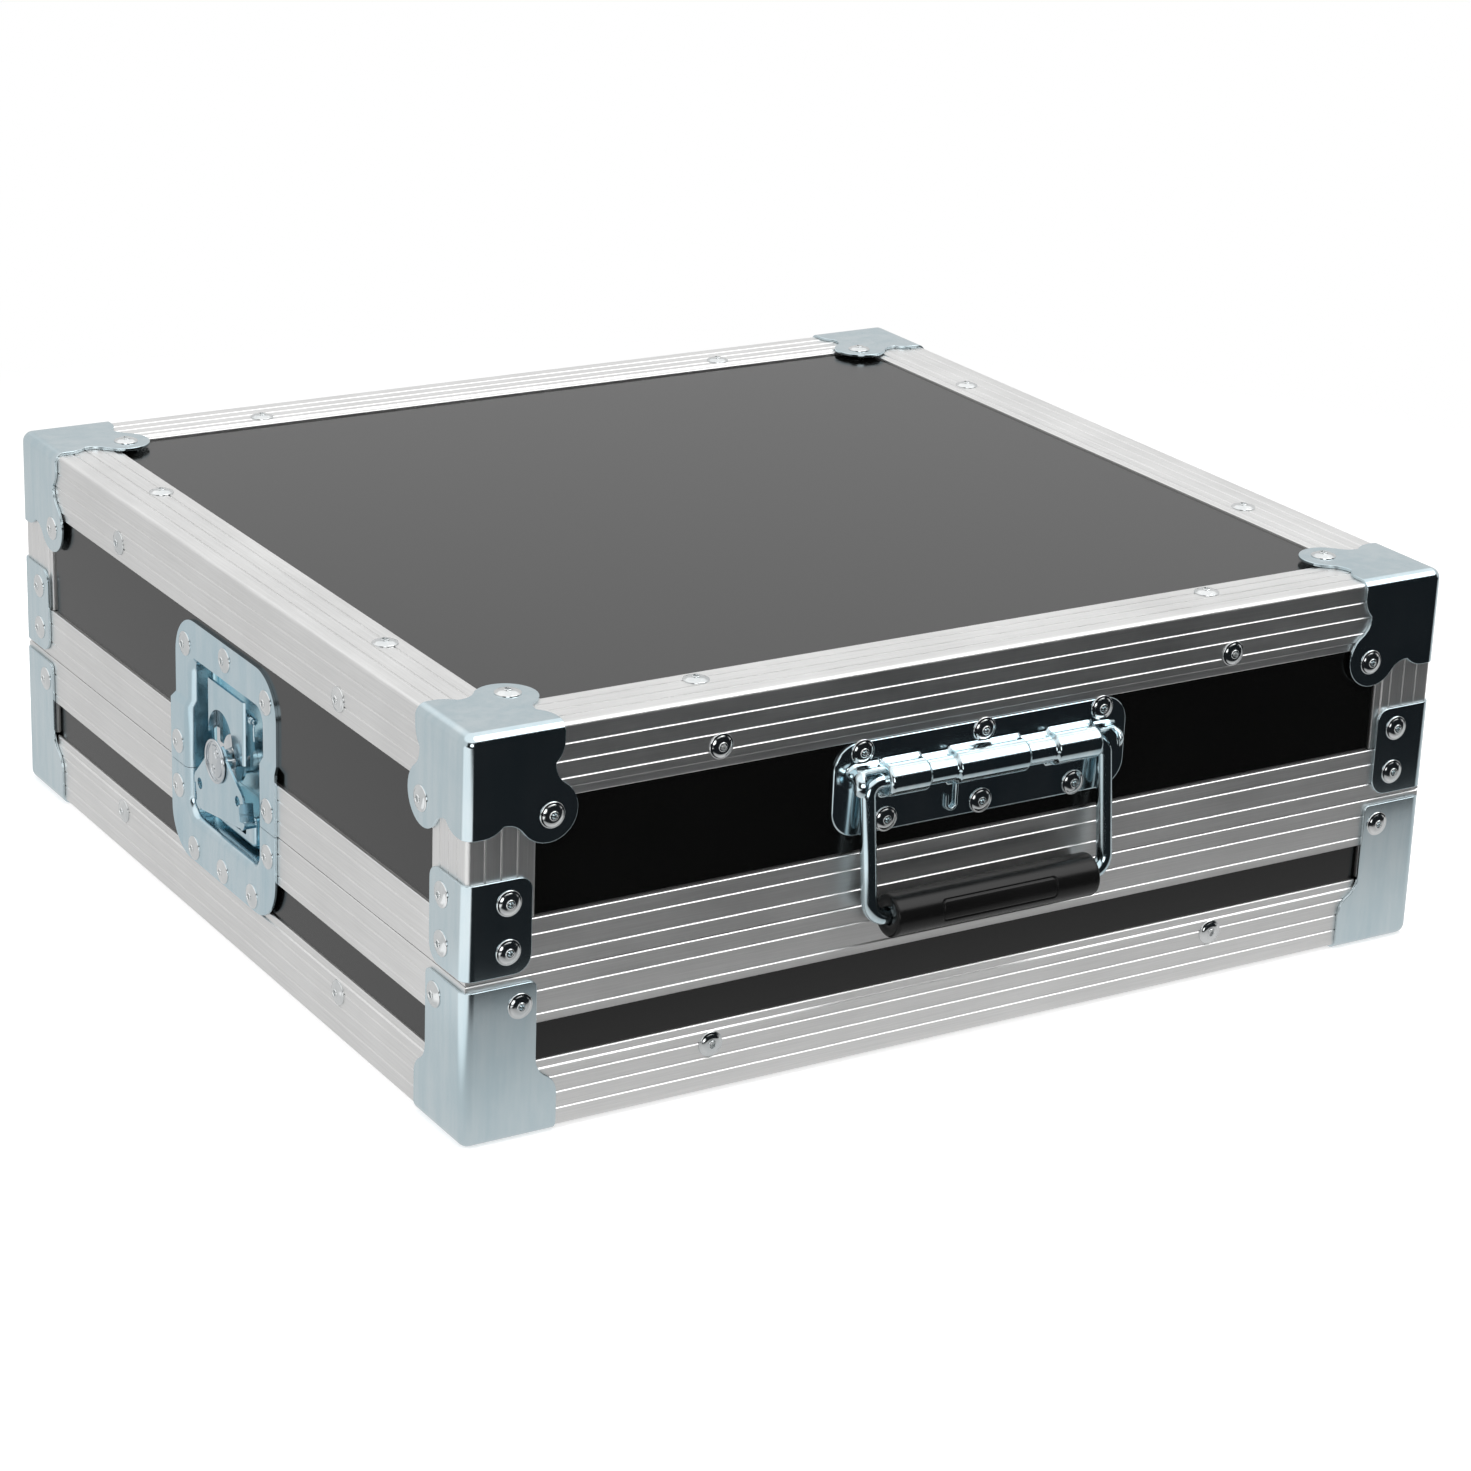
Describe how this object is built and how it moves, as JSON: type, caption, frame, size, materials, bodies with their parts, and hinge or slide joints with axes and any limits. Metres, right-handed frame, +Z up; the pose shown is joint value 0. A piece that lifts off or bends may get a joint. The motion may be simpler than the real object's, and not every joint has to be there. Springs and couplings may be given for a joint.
{
  "type": "mixer flight case",
  "caption": "Low flight case with a lift-off lid, grooved aluminium edging, steel corner caps, recessed turn latches on both ends and a sprung bail handle on the front.",
  "frame": {"origin": "centre of the bounding box, at the undersides of the four base corner caps", "axes": "+Z up, +X to the right seen from the front, where the handle is, +Y to the back"},
  "size_m": [0.5012, 0.4832, 0.18],
  "materials": {
    "aluminium": "satin",
    "laminate": "satin",
    "zinc_steel": "polished",
    "grip_rubber": "matte",
    "foam": "matte"
  },
  "bodies": {
    "base": {"base_floor_panel": "laminate", "base_front_panel": "laminate", "base_back_panel": "laminate", "base_left_panel": "laminate", "base_right_panel": "laminate", "base_front_edge_profile": "aluminium", "base_back_edge_profile": "aluminium", "base_left_edge_profile": "aluminium", "base_right_edge_profile": "aluminium", "base_front_rim_profile": "aluminium", "base_back_rim_profile": "aluminium", "base_left_rim_profile": "aluminium", "base_right_rim_profile": "aluminium", "base_corner_profiles": "aluminium", "base_front_left_cap": "zinc_steel", "base_front_right_cap": "zinc_steel", "base_back_left_cap": "zinc_steel", "base_back_right_cap": "zinc_steel", "base_foam": "foam", "base_rivets": "zinc_steel", "left_keeper_dish": "zinc_steel", "right_keeper_dish": "zinc_steel"},
    "lid": {"lid_top_panel": "laminate", "lid_front_panel": "laminate", "lid_back_panel": "laminate", "lid_left_panel": "laminate", "lid_right_panel": "laminate", "lid_front_edge_profile": "aluminium", "lid_back_edge_profile": "aluminium", "lid_left_edge_profile": "aluminium", "lid_right_edge_profile": "aluminium", "lid_front_rim_profile": "aluminium", "lid_back_rim_profile": "aluminium", "lid_left_rim_profile": "aluminium", "lid_right_rim_profile": "aluminium", "lid_corner_profiles": "aluminium", "lid_front_left_cap": "zinc_steel", "lid_front_right_cap": "zinc_steel", "lid_back_left_cap": "zinc_steel", "lid_back_right_cap": "zinc_steel", "lid_rim_brackets": "zinc_steel", "lid_foam": "foam", "lid_rivets": "zinc_steel", "handle_plate": "zinc_steel", "handle_spring": "zinc_steel", "left_upper_dish": "zinc_steel", "right_upper_dish": "zinc_steel"},
    "handle": {"handle_bail": "zinc_steel", "handle_grip": "grip_rubber"},
    "left_spindle": {"left_spindle": "zinc_steel", "left_wing_pin": "zinc_steel", "left_wing_spring": "zinc_steel"},
    "left_wing": {"left_wing": "zinc_steel"},
    "left_hasp": {"left_hasp": "zinc_steel"},
    "right_spindle": {"right_spindle": "zinc_steel", "right_wing_pin": "zinc_steel", "right_wing_spring": "zinc_steel"},
    "right_wing": {"right_wing": "zinc_steel"},
    "right_hasp": {"right_hasp": "zinc_steel"}
  },
  "joints": [
    {"name": "lid_lift", "type": "slide", "parent": "base", "child": "lid", "axis": [0, 0, 1], "range_m": [0, 0.2]},
    {"name": "handle_swing", "type": "hinge", "parent": "lid", "child": "handle", "pos_m": [0, -0.2252, 0.128], "axis": [-1, 0, 0], "range_deg": [0, 90], "stiffness_Nm_per_rad": 0.12, "springref_deg": -20.05},
    {"name": "left_turn", "type": "hinge", "parent": "lid", "child": "left_spindle", "pos_m": [-0.245, 0.0081, 0.0885], "axis": [-1, 0, 0], "range_deg": [0, 90]},
    {"name": "left_wing_fold", "type": "hinge", "parent": "left_spindle", "child": "left_wing", "pos_m": [-0.241, 0.0081, 0.1135], "axis": [0, 1, 0], "range_deg": [0, 90], "stiffness_Nm_per_rad": 0.02, "springref_deg": -20.05},
    {"name": "left_hasp_draw", "type": "slide", "parent": "lid", "child": "left_hasp", "axis": [0, 0, -1], "range_m": [0, 0.0065]},
    {"name": "right_turn", "type": "hinge", "parent": "lid", "child": "right_spindle", "pos_m": [0.245, 0.0081, 0.0885], "axis": [1, 0, 0], "range_deg": [0, 90]},
    {"name": "right_wing_fold", "type": "hinge", "parent": "right_spindle", "child": "right_wing", "pos_m": [0.241, 0.0081, 0.1135], "axis": [0, -1, 0], "range_deg": [0, 90], "stiffness_Nm_per_rad": 0.02, "springref_deg": -20.05},
    {"name": "right_hasp_draw", "type": "slide", "parent": "lid", "child": "right_hasp", "axis": [0, 0, -1], "range_m": [0, 0.0065]}
  ],
  "couplings": [
    {"joint": "left_turn", "follows": "left_hasp_draw", "rad_per_m": 241.6},
    {"joint": "right_turn", "follows": "right_hasp_draw", "rad_per_m": 241.6}
  ]
}
